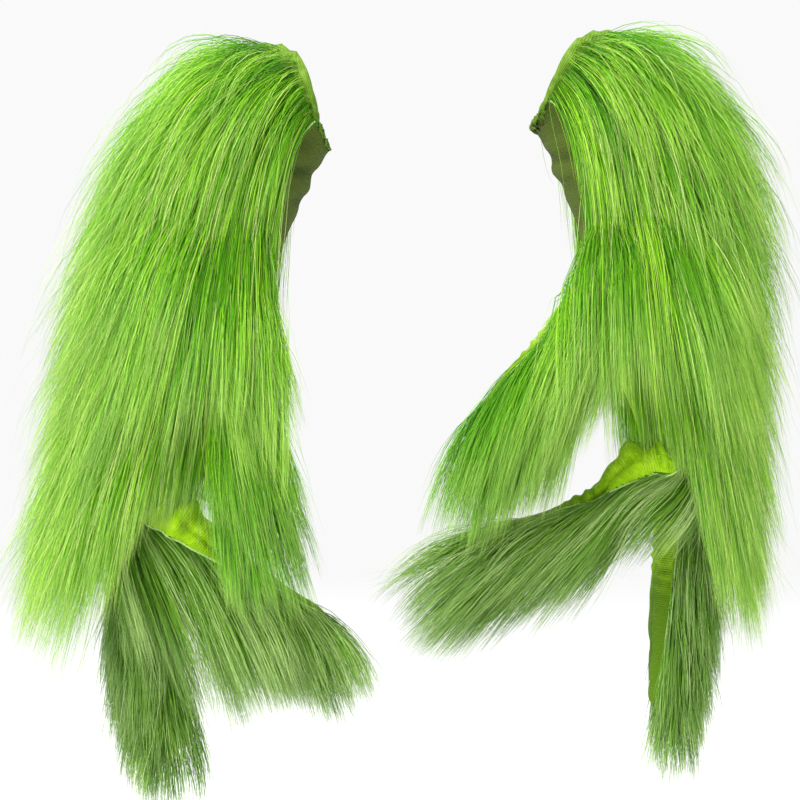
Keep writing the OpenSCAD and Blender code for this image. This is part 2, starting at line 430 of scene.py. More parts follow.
def seam_angle(limb, dist):
    """Where the fur panel meets the plush: far round on the sleeve, half way on the fingers."""
    if limb.name != "arm":
        stops, angles = FUR_EDGE[limb.name]
        return np.interp(dist, np.array(stops) * MM, angles)
    from_end = limb.dist[-1] - dist
    return 54 + 34 * smoothstep(1 - from_end / (44 * MM))


# ---------------------------------------------------------------- wrinkles


def arm_relief(limb, p, dist, palm, relief):
    """The sleeve's wrinkles: slanting folds below the cuff, none at it, and creases at the hand."""
    slant = dist + 0.25 * (p[:, 1] + 40 * MM) + 2 * MM * ripple(p, 30 * MM, 5)
    fold_wave = np.cos(2 * math.pi * (slant - 44 * MM) / (21 * MM))
    relief = relief - 1.2 * MM * hill(dist, 44 * MM, 16 * MM) * palm * fold_wave
    relief = relief * smoothstep((dist + 4 * MM) / (16 * MM))
    at_hand = hill(limb.dist[-1] - dist, 10 * MM, 15 * MM)
    hand_wave = np.sin(2 * math.pi * dist / (11 * MM) + 2 * ripple(p, 22 * MM, 6))
    return relief + 1.6 * MM * at_hand * palm * hand_wave


def finger_relief(limb, p, dist, angle, palm, relief, crumple):
    """A finger's wrinkles: creases across its fold and its middle; the index also has a deep pucker."""
    deep, pitch = (3.4, 15) if limb.name == "index" else (1.3, 12)
    facing = np.clip(np.cos(np.radians(angle)) + 0.75, 0, 1)
    along = dist + 1.8 * MM * ripple(p, 20 * MM, 7)
    crease = np.sin(2 * math.pi * along / (pitch * MM))
    relief = relief + deep * MM * hill(dist, 9 * MM, 17 * MM) * facing * crease
    if limb.name == "index":
        relief = relief + crumple * hill(dist, 14 * MM, 17 * MM) * facing
        line = 66 + 12 * ripple(p, 24 * MM, 8) - np.abs(angle)
        stretch = smoothstep((dist - 10 * MM) / (10 * MM)) * smoothstep((60 * MM - dist) / (16 * MM))
        relief = relief - 2.4 * MM * hill(line, 0, 8) * stretch
    at_middle = hill(dist, 0.45 * limb.dist[-1], 10 * MM)
    return relief + 0.9 * MM * at_middle * palm * np.sin(2 * math.pi * along / (7 * MM))


def cloth_relief(side, limbs, verts):
    """How far the cloth stands out or sinks at each vertex: creases at the folds, soft dents."""
    which, place = nearest_limb(limbs, verts)
    crumple = POSES[side]["index_crumple"] * MM
    palm = np.clip(np.cos(np.radians(place["angle"])) + 0.45, 0, 1)
    relief = 0.7 * MM * ripple(verts, 26 * MM, 3) + 0.35 * MM * ripple(verts, 9 * MM, 4)
    for i, limb in enumerate(limbs):
        on = which == i
        p, dist, angle = verts[on], place["dist"][on], place["angle"][on]
        if limb.name == "arm":
            relief[on] = arm_relief(limb, p, dist, palm[on], relief[on])
        else:
            relief[on] = finger_relief(limb, p, dist, angle, palm[on], relief[on], crumple)
    return relief


def bow_of(degrees):
    """How far the cuff's edge stands past its lowest line, at an angle round the arm."""
    return BOW * MM * np.sin(np.radians(degrees)) ** 2


def build_skin(side, limbs):
    """A glove's whole skin, wrinkled and cut at the cuff, and which limb and panel each face is on."""
    verts, quads = joined_skin(side, limbs)
    normals = vertex_normals(verts, quads)
    relief = cloth_relief(side, limbs, verts)
    verts = verts + normals * relief[:, None]
    arm = limbs[0]
    along_arm = arm.locate(verts)
    over = -along_arm["dist"] - bow_of(along_arm["angle"])
    quads = quads[(over[quads] < 0).any(1)]
    verts = verts + arm.along[along_arm["ring"]] * np.maximum(over, 0)[:, None]
    centres = verts[quads].mean(1)
    which, place = nearest_limb(limbs, centres)
    limit = np.empty(len(centres))
    for i, limb in enumerate(limbs):
        on = which == i
        limit[on] = seam_angle(limb, place["dist"][on])
    return {
        "side": side,
        "verts": verts,
        "quads": quads,
        "limb": which,
        "place": place,
        "furry": np.abs(place["angle"]) > limit,
        "crease": np.clip(0.5 + relief / (2 * DEEPEST * MM), 0, 1),
        "normals": vertex_normals(verts, quads),
    }


def fold_weight(dist):
    """A weight from nothing 3 mm before a finger's fold to one 15 mm past it."""
    return smoothstep((dist + 3 * MM) / (18 * MM))


def follow(obj, limb, weights):
    """Rides on the sleeve; a finger's piece stays where it is, its transform baked into its mesh. The
    weights are not used.
    """
    if limb.name == "arm":
        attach(obj, HELD)
        return
    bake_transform(obj)


def lay_limb_uv(mesh, limb, verts, crease=0.5):
    """Texture places in centimetres, round the limb and along it, and how sunk each vertex lies."""
    place = limb.locate(verts)
    around = np.radians(place["angle"]) * (limb.half_t + limb.half_w)[place["ring"]] / 2
    uv = np.stack([around, place["dist"]], 1) * 100
    corners = np.empty(len(mesh.loops), np.int32)
    mesh.loops.foreach_get("vertex_index", corners)
    layer = mesh.uv_layers.new(name="cloth")
    layer.data.foreach_set("uv", uv[corners].astype(np.float32).ravel())
    sunk = mesh.attributes.new("crease", "FLOAT", "POINT")
    sunk.data.foreach_set("value", np.full(len(verts), crease, np.float32))


def cloth_piece(skin, limbs, i, furry, node, material):
    """One sewn panel cut from a glove's skin, standing for its CAD node."""
    limb = limbs[i]
    quads = skin["quads"][(skin["limb"] == i) & (skin["furry"] == furry)]
    used, corners = np.unique(quads, return_inverse=True)
    verts = skin["verts"][used]
    mesh = bpy.data.meshes.new(node + "_cloth")
    fill_mesh(mesh, verts, corners.ravel(), np.full(len(quads), 4))
    lay_limb_uv(mesh, limb, verts, skin["crease"][used])
    obj = new_object(node + "_cloth", mesh)
    mesh.materials.append(material)
    if limb.name == "arm":
        wall = obj.modifiers.new("wall", "SOLIDIFY")
        wall.thickness = WALL * MM
        wall.offset = -1
    place = limb.locate(verts)
    follow(obj, limb, fold_weight(place["dist"]))
    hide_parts(node)
    return obj


# ---------------------------------------------------------------- hair


def scatter(skin, chosen, count):
    """Random places on the chosen faces, by area, with the skin's normal there."""
    quads = skin["quads"][chosen]
    v = skin["verts"][quads]
    area = np.linalg.norm(np.cross(v[:, 2] - v[:, 0], v[:, 3] - v[:, 1]), axis=1)
    pick = rng.choice(len(quads), count, p=area / area.sum())
    s, t = rng.uniform(size=(2, count, 1))
    weights = np.stack([(1 - s) * (1 - t), s * (1 - t), s * t, (1 - s) * t], 1)
    at = (v[pick] * weights).sum(1)
    normal = unit((skin["normals"][quads[pick]] * weights).sum(1))
    return at, normal


def pushed_out(limbs, p, clearances):
    """Points moved out of every limb, to stand at least its clearance from its surface."""
    for limb, clearance in zip(limbs, clearances):
        place = limb.locate(p)
        ring = place["ring"]
        size = np.minimum(limb.half_t[ring], limb.half_w[ring])
        short = np.clip(1 - place["radius"], 0, 1) * size + clearance
        hit = (place["radius"] < 1 + clearance / size) & (place["past"] == 0)
        out = place["out"]
        if clearance > MM:
            out = unit(out + [0, -1.6, 0])
            short = short * 1.4
        p = p + np.where(hit, short, 0)[:, None] * out * 0.9
    return p


def grow(limbs, limb, roots, normals, hair):
    """Combed strands: each leaves its root tilted off the cloth, then lies down along the limb."""
    place = limb.locate(roots)
    direction = unit(limb.along[place["ring"]] + normals * hair["lift"][:, None] * 1.3)
    points = [roots]
    at = roots
    clearances = []
    for other in limbs:
        crosses_thumb = other.name == "thumb" and limb.name != "thumb"
        clearances.append(OVER_THUMB * MM if crosses_thumb else 0.6 * MM)
    for k in range(STEPS):
        share = k / STEPS
        place = limb.locate(at)
        pull = (
            limb.along[place["ring"]]
            + DOWN * (hair["gravity"] * (0.2 + 1.5 * share))[:, None]
            + place["out"] * (hair["lift"] * (1.05 - 1.25 * share))[:, None]
            + hair["lean"] * (0.3 + share)
        )
        direction = unit(direction * 0.5 + unit(pull) * 0.5)
        at = at + direction * (hair["length"] / STEPS)[:, None]
        at = pushed_out(limbs, at, clearances)
        points.append(at)
    return np.stack(points, 1)


def clumped(points, pull):
    """Strands drawn towards a near leader, more and more towards their tips, and their leaders."""
    count = len(points)
    leaders = rng.choice(count, max(1, count // CLUMP), replace=False)
    tree = KDTree(len(leaders))
    for i, leader in enumerate(leaders):
        tree.insert(Vector(points[leader, 0]), i)
    tree.balance()
    mine = leaders[[tree.find(Vector(root))[1] for root in points[:, 0]]]
    share = np.linspace(0, 1, points.shape[1])[None, :, None] ** 1.3
    strength = rng.uniform(0.35, 1, (count, 1, 1)) * pull
    apart = (points[:, :1] - points[mine][:, :1]) * 0.35
    return points + (points[mine] + apart - points) * share * strength, mine


def waved(points, size):
    """A slow sideways wander along each strand, nothing at its root."""
    count, rings, _ = points.shape
    share = np.linspace(0, 1, rings)[None, :, None]
    turn = rng.uniform(0, 2 * math.pi, (count, 1, 3))
    rate = rng.uniform(2.5, 6, (count, 1, 3))
    return points + np.sin(turn + rate * share) * share * size * rng.normal(1, 0.5, (count, 1, 1))


def strand_pattern(rings):
    """One strand's faces and their places on its texture: quads down its length, then its tip."""
    quads, quad_uv = [], []
    for i in range(rings - 2):
        for k in range(3):
            n = (k + 1) % 3
            quads.append([i * 3 + k, i * 3 + n, (i + 1) * 3 + n, (i + 1) * 3 + k])
            quad_uv.append([(k, i), (k + 1, i), (k + 1, i + 1), (k, i + 1)])
    last = (rings - 2) * 3
    tips, tip_uv = [], []
    for k in range(3):
        tips.append([last + k, last + (k + 1) % 3, last + 3])
        tip_uv.append([(k, rings - 2), (k + 1, rings - 2), (k + 0.5, rings - 1)])
    return quads, quad_uv, tips, tip_uv


def strand_uv(pattern, shade, rings):
    """Each strand's faces on a texture of SHADES columns, root at the bottom and tip at the top."""
    column = np.floor(shade * (SHADES - 1e-6))
    flat = np.array(pattern, float).reshape(-1, 2)
    u = (column[:, None] + 0.15 + 0.7 * flat[:, 0] / 3) / SHADES
    v = np.broadcast_to(flat[:, 1] / (rings - 1), u.shape)
    return np.stack([u, v], -1).reshape(-1, 2)


def strand_mesh(name, points, radius, shade):
    """Closed three-sided tapering tubes along rows of points, and how many vertices each has."""
    count, rings, _ = points.shape
    tangent = unit(np.gradient(points, axis=1))
    across = unit(np.cross(tangent, unit(rng.normal(size=(count, 1, 3)))))
    other = np.cross(tangent, across)
    share = np.linspace(0, 1, rings)
    taper = np.interp(share, [0, 0.1, 0.6, 1], [0.75, 1, 0.8, 0.16])[None, :-1, None]
    sides = []
    for k in range(3):
        a = 2 * math.pi * k / 3
        out = across * math.cos(a) + other * math.sin(a)
        sides.append(points[:, :-1] + out[:, :-1] * radius[:, None, None] * taper)
    tube = np.stack(sides, 2).reshape(count, -1, 3)
    verts = np.concatenate([tube, points[:, -1:]], 1)
    per = verts.shape[1]
    quads, quad_uv, tips, tip_uv = strand_pattern(rings)
    base = (np.arange(count) * per)[:, None]
    corners = [(base + np.array(faces).ravel()).ravel() for faces in (quads, tips)]
    sizes = [np.full(count * len(quads), 4), np.full(count * len(tips), 3)]
    mesh = bpy.data.meshes.new(name)
    fill_mesh(mesh, verts.reshape(-1, 3), np.concatenate(corners), np.concatenate(sizes))
    uv = np.concatenate([strand_uv(pattern, shade, rings) for pattern in (quad_uv, tip_uv)])
    mesh.uv_layers.new(name="OFBake").data.foreach_set("uv", uv.astype(np.float32).ravel())
    return mesh, per


# For each limb: how many strands, the shortest and longest, how steeply they stand, and their weight
FUR = {
    "arm": {"strands": 19000, "length": (84, 122), "lift": 0.52, "gravity": 0.55},
    "thumb": {"strands": 4000, "length": (56, 88), "lift": 0.34, "gravity": 1.0},
    "index": {"strands": 3600, "length": (50, 80), "lift": 0.38, "gravity": 0.5},
    "middle": {"strands": 2400, "length": (42, 66), "lift": 0.46, "gravity": 0.3},
    "ring": {"strands": 2000, "length": (46, 70), "lift": 0.46, "gravity": 0.3},
    "little": {"strands": 2000, "length": (44, 68), "lift": 0.46, "gravity": 0.3},
}
STEPS = 6  # parts to a strand
SHADES = 64
CLUMP = 16  # strands to a clump
OVER_THUMB = 9  # the sleeve's hair lies this far over the thumb, on top of the thumb's own
LIFT_STOPS = (30, 105, 200)  # from the cuff
MOST_STRANDS = 5600  # to a piece
SPARE = 8  # how far hair may pass the CAD box, besides 3 % of each side


def sleeve_ways(side, limb, place, hair):
    """How the sleeve's hair differs: fullest at the back, ragged at the rim, swept over the thumb."""
    dist, angle = place["dist"], place["angle"]
    count = len(dist)
    back = np.clip(-np.cos(np.radians(angle)), 0, 1)
    hair["length"] *= np.interp(dist, [0, 30 * MM], [0.75, 1.0])
    hair["lift"] *= 0.62 + back + 0.2 * back * smoothstep(1 - dist / (40 * MM))
    hair["lift"] *= np.interp(dist, np.array(LIFT_STOPS) * MM, POSES[side]["lift_along"])
    at_rim = smoothstep(1 - (dist + bow_of(angle)) / (10 * MM))
    hair["lift"] += rng.uniform(0, 1.1, count) * at_rim
    hair["length"] *= 1 - rng.uniform(0, 0.85, count) * at_rim
    over_thumb = hill(angle, -82, 48)
    over_thumb *= smoothstep((dist - 45 * MM) / (30 * MM))
    over_thumb *= smoothstep((142 * MM - dist) / (20 * MM))
    hair["lift"] += 0.95 * over_thumb
    hair["length"] += 22 * MM * over_thumb
    hair["gravity"] *= 1 + 1.5 * (1 - back)
    to_knuckles = limb.dist[-1] - dist
    over_palm = (np.abs(angle) < 94) & (to_knuckles < 110 * MM)
    reach = np.maximum(to_knuckles + POSES[side]["over_knuckles"] * MM, 26 * MM)
    hair["length"] = np.where(over_palm, np.minimum(hair["length"], reach), hair["length"])


def finger_ways(side, limb, place, hair):
    """How a finger's hair differs: flat at the fold, shorter to the tip, and as its pose says."""
    dist = place["dist"]
    hair["length"] *= np.interp(dist, [0, limb.dist[-1]], [1.05, 0.72])
    hair["lift"] *= np.interp(dist, [0, 34 * MM], [0.25, 1.0])
    if limb.name in POSES[side]["fur"]:
        facts = POSES[side]["fur"][limb.name]
        at_root = np.interp(dist, [20 * MM, 80 * MM], [facts["at_root"], 1])
        hair["length"] *= facts["reach"] * at_root
        hair["gravity"] *= facts["weight"]
        hair["lean"] += np.array([MIRROR[side] * facts["sway"], 0, 0])


def hair_of(side, limb, place):
    """Each strand's length, lift off the cloth, lean and weight, and which strands are strays."""
    facts = FUR[limb.name]
    count = len(place["dist"])
    hair = {"length": rng.uniform(*facts["length"], count) * MM}
    evenness = 14
    hair["lift"] = np.clip(rng.gamma(evenness, facts["lift"] / evenness, count), 0.06, 1.1)
    stray = rng.uniform(size=count) < 0.055
    hair["lift"][stray] += 0.2
    hair["lean"] = rng.normal(size=(count, 3)) * np.where(stray, 0.3, 0.05)[:, None]
    hair["gravity"] = facts["gravity"] * rng.uniform(0.6, 1.4, count)
    ways = sleeve_ways if limb.name == "arm" else finger_ways
    ways(side, limb, place, hair)
    return hair, stray


def shades_of(limb, place, leader, stray):
    """Each strand's shade, from 0, darkest, to 1: mostly its clump's; strays are palest, a painted
    backlit glow; the index's hair is lighter near its seam, painted light; the thumb's is darker towards
    its tip, painted shade.
    """
    count = len(leader)
    tone = rng.uniform(0, 1, count)
    shade = np.clip(0.55 * tone[leader] + 0.45 * rng.uniform(0, 1, count), 0, 0.999)
    # painted light: the index's hair is lighter near its seam, where the light falls on the top of the
    # finger
    if limb.name == "index":
        from_seam = np.abs(place["angle"]) - seam_angle(limb, place["dist"])
        shade = np.clip(shade + 0.45 * np.exp(-from_seam / 28), 0, 0.9)
    # painted light: strays take the palest shade, for thin strands glowing in backlight
    shade[stray] = 0.98
    # painted shade: the thumb's hair darkens towards its tip, for the shade on the thumb's lower side
    if limb.name == "thumb":
        shade *= np.interp(place["dist"], [0, 60 * MM], [1, 0.6])
    return shade


def within_room(points):
    """Which strands stay near enough to the CAD model's box."""
    low, high = np.array(cad_box)
    spare = 0.03 * (high - low) + SPARE * MM
    return ((points > low - spare) & (points < high + spare)).all(axis=(1, 2))


def fur_pieces(skin, limbs, i, node, material):
    """The long fur of one panel, in as many pieces as its strands need."""
    limb = limbs[i]
    side = skin["side"]
    count = FUR[limb.name]["strands"]
    roots, normals = scatter(skin, (skin["limb"] == i) & skin["furry"], count)
    place = limb.locate(roots)
    hair, stray = hair_of(side, limb, place)
    points, leader = clumped(grow(limbs, limb, roots, normals, hair), 0.75)
    points = waved(points, 1.1 * MM)
    radius = rng.uniform(0.12, 0.24, count) * MM
    radius[stray] *= 0.6
    shade = shades_of(limb, place, leader, stray)
    order = np.argsort(place["dist"])
    order = order[within_room(points)[order]]
    groups = np.array_split(order, math.ceil(count / MOST_STRANDS))
    for k, group in enumerate(groups):
        name = f"{node}_fur_{k + 1}" if len(groups) > 1 else f"{node}_fur"
        mesh, per = strand_mesh(name, points[group], radius[group], shade[group])
        obj = new_object(name, mesh)
        mesh.materials.append(material)
        follow(obj, limb, np.repeat(fold_weight(place["dist"][group]), per))
        if k == 0:
            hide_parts(node)


# ---------------------------------------------------------------- materials


BLACK = (0, 0, 0, 1)
WHITE = (1, 1, 1, 1)
# centimetres along a limb to the 1 of the plush's painted shade ramp
SHADE_CM = 18


def linear(r, g, b):
    """A colour given in everyday 0-255 values, as the shader wants it."""
    part = [c / 255 for c in (r, g, b)]
    return (*[c / 12.92 if c <= 0.04045 else ((c + 0.055) / 1.055) ** 2.4 for c in part], 1)


class Nodes:
    """A material's node tree with one shader, and short ways to add to it."""

    def __init__(self, name):
        self.material = bpy.data.materials.new(name)
        self.material.use_nodes = True
        self.tree = self.material.node_tree
        self.shader = self.tree.nodes["Principled BSDF"]

    def add(self, kind, **values):
        """A node of that kind; each value goes to its input of that name, or else to the node."""
        node = self.tree.nodes.new(kind)
        for key, value in values.items():
            if key in node.inputs:
                node.inputs[key].default_value = value
            else:
                setattr(node, key.lower(), value)
        return node

    def link(self, a, b):
        self.tree.links.new(a, b)

    def ramp(self, source, stops):
        """The colours at those stops, looked up by the source."""
        node = self.add("ShaderNodeValToRGB")
        ramp = node.color_ramp
        while len(ramp.elements) < len(stops):
            ramp.elements.new(0.5)
        for element, (place, colour) in zip(ramp.elements, stops):
            element.position = place
            element.color = colour
        self.link(source, node.inputs[0])
        return node.outputs[0]

    def feed(self, socket, value):
        """Gives an input a value, or links it to another node's output."""
        if isinstance(value, bpy.types.NodeSocket):
            self.link(value, socket)
        else:
            socket.default_value = value

    def mix(self, how, amount, a, b):
        node = self.tree.nodes.new("ShaderNodeMix")
        node.data_type = "RGBA"
        node.blend_type = how
        self.feed(node.inputs[0], amount)
        self.feed(node.inputs[6], a)
        self.feed(node.inputs[7], b)
        return node.outputs[2]

    def maths(self, how, a, b):
        node = self.tree.nodes.new("ShaderNodeMath")
        node.operation = how
        self.feed(node.inputs[0], a)
        self.feed(node.inputs[1], b)
        return node.outputs[0]


def fur_material(name, dark, middle, light, tip):
    """Glossy synthetic hair: one shade a strand, with painted shade deeper at the root and a painted
    backlit glow paler at the tip.
    """
    m = Nodes(name)
    uv = m.add("ShaderNodeUVMap", uv_map="OFBake")
    split = m.add("ShaderNodeSeparateXYZ")
    m.link(uv.outputs[0], split.inputs[0])
    strand = m.ramp(split.outputs[0], [(0.0, dark), (0.42, middle), (0.8, light), (0.96, tip)])
    # painted shade: each strand is darker towards its root, for the shade deep in the pile
    root_shade_stops = [(0.0, (0.5, 0.56, 0.4, 1)), (0.3, (0.86, 0.88, 0.8, 1)), (0.6, WHITE)]
    root_shade = m.ramp(split.outputs[1], root_shade_stops)
    colour = m.mix("MULTIPLY", 1.0, strand, root_shade)
    # painted light: each strand turns to the pale tip colour towards its end, for a backlit glow
    end = m.ramp(split.outputs[1], [(0.55, BLACK), (1.0, (0.45, 0.45, 0.45, 1))])
    colour = m.mix("MIX", end, colour, tip)
    m.link(colour, m.shader.inputs["Base Color"])
    m.shader.inputs["Roughness"].default_value = 0.42
    m.shader.inputs["Specular IOR Level"].default_value = 0.24
    m.shader.inputs["Sheen Weight"].default_value = 0.06
    m.shader.inputs["Sheen Roughness"].default_value = 0.4
    m.shader.inputs["Sheen Tint"].default_value = linear(224, 250, 150)
    return m.material


def cloth_material(name, base, deep, bright, rib, sheen, painted_shade=None, shade_ramp=()):
    """Short plush or knit: fine ribs across the limb, a mottled nap, a soft sheen and painted shade in
    its creases.

    It takes the painted shade colour where its ramp is white; the ramp's 1 is SHADE_CM along the limb.
    """
    m = Nodes(name)
    uv = m.add("ShaderNodeUVMap", uv_map="cloth")
    wave = m.add("ShaderNodeTexWave", Scale=rib, Distortion=1.1, Detail=2.0)
    wave.inputs["Detail Scale"].default_value = 1.6
    wave.bands_direction = "Y"
    nap = m.add("ShaderNodeTexNoise", Scale=26.0, Detail=6.0, Roughness=0.7)
    patch = m.add("ShaderNodeTexNoise", Scale=1.3, Detail=3.0, Roughness=0.6)
    for node in (wave, nap, patch):
        m.link(uv.outputs[0], node.inputs["Vector"])
    colour = m.ramp(patch.outputs[0], [(0.3, deep), (0.5, base), (0.72, bright)])
    # painted shade: the plush turns to a darker olive by its place along the limb
    if painted_shade:
        split = m.add("ShaderNodeSeparateXYZ")
        m.link(uv.outputs[0], split.inputs[0])
        share = m.ramp(m.maths("MULTIPLY", split.outputs[1], 1 / SHADE_CM), shade_ramp)
        colour = m.mix("MIX", share, colour, painted_shade)
    # painted shade: the plush is darkened in the troughs between its ribs, besides their bump
    ribs = m.ramp(wave.outputs[1], [(0.0, (0.72, 0.74, 0.66, 1)), (0.6, WHITE)])
    colour = m.mix("MULTIPLY", 0.75, colour, ribs)
    flecks = m.ramp(nap.outputs[0], [(0.3, (0.66, 0.68, 0.6, 1)), (0.62, (1.12, 1.12, 1.05, 1))])
    colour = m.mix("MULTIPLY", 0.6, colour, flecks)
    # painted shade: the cloth is darkened where it sinks into a crease
    crease = m.add("ShaderNodeAttribute", attribute_name="crease")
    shadow = m.ramp(crease.outputs[2], [(0.12, (0.3, 0.36, 0.2, 1)), (0.46, WHITE)])
    colour = m.mix("MULTIPLY", 0.9, colour, shadow)
    m.link(colour, m.shader.inputs["Base Color"])
    height = m.maths("ADD", wave.outputs[1], m.maths("MULTIPLY", nap.outputs[0], 1.2))
    bump = m.add("ShaderNodeBump", Strength=0.55, Distance=0.0007)
    m.link(height, bump.inputs["Height"])
    m.link(bump.outputs[0], m.shader.inputs["Normal"])
    m.shader.inputs["Roughness"].default_value = 0.9
    m.shader.inputs["Specular IOR Level"].default_value = 0.2
    m.shader.inputs["Sheen Weight"].default_value = sheen
    m.shader.inputs["Sheen Roughness"].default_value = 0.5
    m.shader.inputs["Sheen Tint"].default_value = painted_shade or bright
    return m.material


def thread_material():
    """The seams' light overlocking thread."""
    m = Nodes("seam_thread")
    noise = m.add("ShaderNodeTexNoise", Scale=900.0, Detail=2.0)
    colour = m.ramp(noise.outputs[0], [(0.35, linear(140, 190, 80)), (0.65, linear(205, 235, 150))])
    m.link(colour, m.shader.inputs["Base Color"])
    bump = m.add("ShaderNodeBump", Strength=0.5, Distance=0.0003)
    m.link(noise.outputs[0], bump.inputs["Height"])
    m.link(bump.outputs[0], m.shader.inputs["Normal"])
    m.shader.inputs["Roughness"].default_value = 0.7
    m.shader.inputs["Sheen Weight"].default_value = 0.2
    return m.material


MATERIALS = {
    "fur": fur_material(
        "long_fur", linear(46, 118, 0), linear(104, 188, 0), linear(174, 234, 44), linear(226, 246, 150)
    ),
    # painted shade: the fingers' fur is the long fur in darker colours, for the shade low on the glove
    "finger_fur": fur_material(
        "finger_fur", linear(40, 88, 2), linear(76, 132, 12), linear(128, 184, 48), linear(200, 226, 150)
    ),
    # the fingers' plush: painted shade darkens it to olive towards the fingertips
    "plush": cloth_material(
        "ribbed_plush", linear(162, 212, 20), linear(122, 174, 8), linear(188, 232, 52), 2.6, 0.3,
        painted_shade=linear(96, 136, 20), shade_ramp=[(0.2, BLACK), (0.4, WHITE)],
    ),
    # painted shade: the sleeve's plush is the plush a little darker, and it turns olive towards the cuff
    "sleeve_plush": cloth_material(
        "sleeve_plush", linear(146, 196, 16), linear(104, 158, 8), linear(172, 216, 44), 2.6, 0.15,
        painted_shade=linear(88, 104, 40), shade_ramp=[(0.45, WHITE), (0.85, BLACK)],
    ),
    "backing": cloth_material(
        "backing_cloth", linear(70, 130, 22), linear(52, 104, 14), linear(92, 150, 40), 3.5, 0.1
    ),
    # painted shade: the hem cloth is a darker olive, for the shade inside the sleeve's rim
    "hem": cloth_material(
        "hem_cloth", linear(112, 152, 44), linear(90, 126, 30), linear(140, 178, 72), 3.0, 0.2
    ),
    "thread": thread_material(),
}


# ---------------------------------------------------------------- seams and hem


def tube_along(path, radius, count=6):
    """A small tube along a path, its radius one number for each point."""
    tangent = unit(np.gradient(path, axis=0))
    across = unit(np.cross(tangent, [0.3, 0.8, 0.52]))
    other = np.cross(tangent, across)
    a = np.linspace(0, 2 * math.pi, count, endpoint=False)
    ring = across[:, None] * np.cos(a)[None, :, None] + other[:, None] * np.sin(a)[None, :, None]
    verts = path[:, None] + ring * np.asarray(radius)[:, None, None]
    return verts.reshape(-1, 3), tube_faces(len(path), count)


def resampled(path, spacing):
    """The same path with evenly spaced points."""
    gaps = np.linalg.norm(np.diff(path, axis=0), axis=1)
    dist = np.concatenate([[0], np.cumsum(gaps)])
    even = np.arange(0, dist[-1], spacing)
    return np.stack([np.interp(even, dist, path[:, k]) for k in range(3)], 1)


def laid_on(tree, path, lift):
    """A path moved onto the cloth, standing a little off it."""
    laid = []
    for point in path:
        at, normal, _, _ = tree.find_nearest(Vector(point))
        laid.append(np.array(at) + np.array(normal) * lift)
    laid = np.array(laid)
    for _ in range(3):
        laid[1:-1] = (laid[:-2] + 2 * laid[1:-1] + laid[2:]) / 4
    return laid


def seam_piece(skin, limbs, i, tree):
    """The raised, overlocked seam down both sides of a limb."""
    limb = limbs[i]
    side = skin["side"]
    first = 3 if limb.name == "arm" else 9  # a finger's first rings are inside the hand
    rings = np.arange(first, len(limb.centre) - 3)
    cords = []
    for sign in (-1, 1):
        angle = sign * seam_angle(limb, limb.dist[rings])
        path = laid_on(tree, resampled(limb.rim(rings, angle), 0.8 * MM), 0.35 * MM)
        stitch = 0.55 * MM * (1 + 0.28 * np.sin(np.arange(len(path)) * 2.1))
        cords.append(tube_along(path, stitch))
    verts, faces = gathered(cords)
    mesh = bpy.data.meshes.new(f"{side}_{limb.name}_seam")
    mesh.from_pydata(verts.tolist(), [], faces)
    mesh.polygons.foreach_set("use_smooth", np.ones(len(mesh.polygons), bool))
    mesh.materials.append(MATERIALS["thread"])
    obj = new_object(mesh.name, mesh)
    follow(obj, limb, fold_weight(limb.locate(verts)["dist"]))
    if limb.name == "arm":
        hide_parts(f"{side}_side_seams")
    return obj


def cuff_ring(arm, along, lift, count, sag=0):
    """Points round the bowed cuff edge, at a distance inside it; sag is the cloth's own shift."""
    degrees = np.linspace(0, 360, count, endpoint=False)
    dist = along - bow_of(degrees)
    rings = np.abs(arm.dist - dist[:, None]).argmin(1)
    shift = (dist - arm.dist[rings])[:, None] * arm.along[rings]
    return arm.rim(rings, degrees, lift) + shift + sag


def cuff_sag(arm, tree, count):
    """How far the sewn cloth really lies from its plain tube, round the cuff."""
    plain = cuff_ring(arm, 3 * MM, 0, count)
    sag = np.array([tree.find_nearest(Vector(p))[0] for p in plain]) - plain
    for _ in range(6):
        sag = (np.roll(sag, 1, axis=0) + sag * 2 + np.roll(sag, -1, axis=0)) / 4
    return sag


def hem_piece(side, arm, tree):
    """The cuff's cloth turned inwards: a rolled edge, and a soft band inside the sleeve."""
    count = 160
    width = HEM_WIDTH * MM
    # metres past the edge and into the sleeve, and millimetres out from the cloth
    profile = [
        (3.2 * MM, 0.5), (1.8 * MM, 1.2), (-0.6 * MM, 1.2), (-1.8 * MM, 0.3), (-2.0 * MM, -0.9),
        (-1.2 * MM, -2.3), (width * 0.2, -2.9), (width * 0.7, -2.9), (width, -2.4), (width * 0.98, -1.7),
    ]
    turn = np.linspace(0, 2 * math.pi, count, endpoint=False)
    puckers = 31
    rings = []
    sag = cuff_sag(arm, tree, count)
    for along, lift in profile:
        points = cuff_ring(arm, along, lift * MM, count, sag)
        pucker = 0.25 * MM * np.sin(turn * puckers) * smoothstep(along / width)
        out = unit(points - points.mean(0))
        rings.append(points + out * pucker[:, None])
    verts = np.concatenate(rings)
    n = len(profile)
    i, j = np.meshgrid(np.arange(n), np.arange(count), indexing="ij")
    k = (j + 1) % count
    here, there = i * count, (i + 1) % n * count
    quads = np.stack([here + j, here + k, there + k, there + j], -1)
    mesh = bpy.data.meshes.new(f"{side}_hem")
    mesh.from_pydata(verts.tolist(), [], quads.reshape(-1, 4).tolist())
    face_outwards(mesh)
    mesh.polygons.foreach_set("use_smooth", np.ones(len(mesh.polygons), bool))
    lay_limb_uv(mesh, arm, verts)
    mesh.materials.append(MATERIALS["hem"])
    obj = new_object(mesh.name, mesh)
    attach(obj, HELD)
    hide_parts(f"{side}_cuff_hem")
    return obj


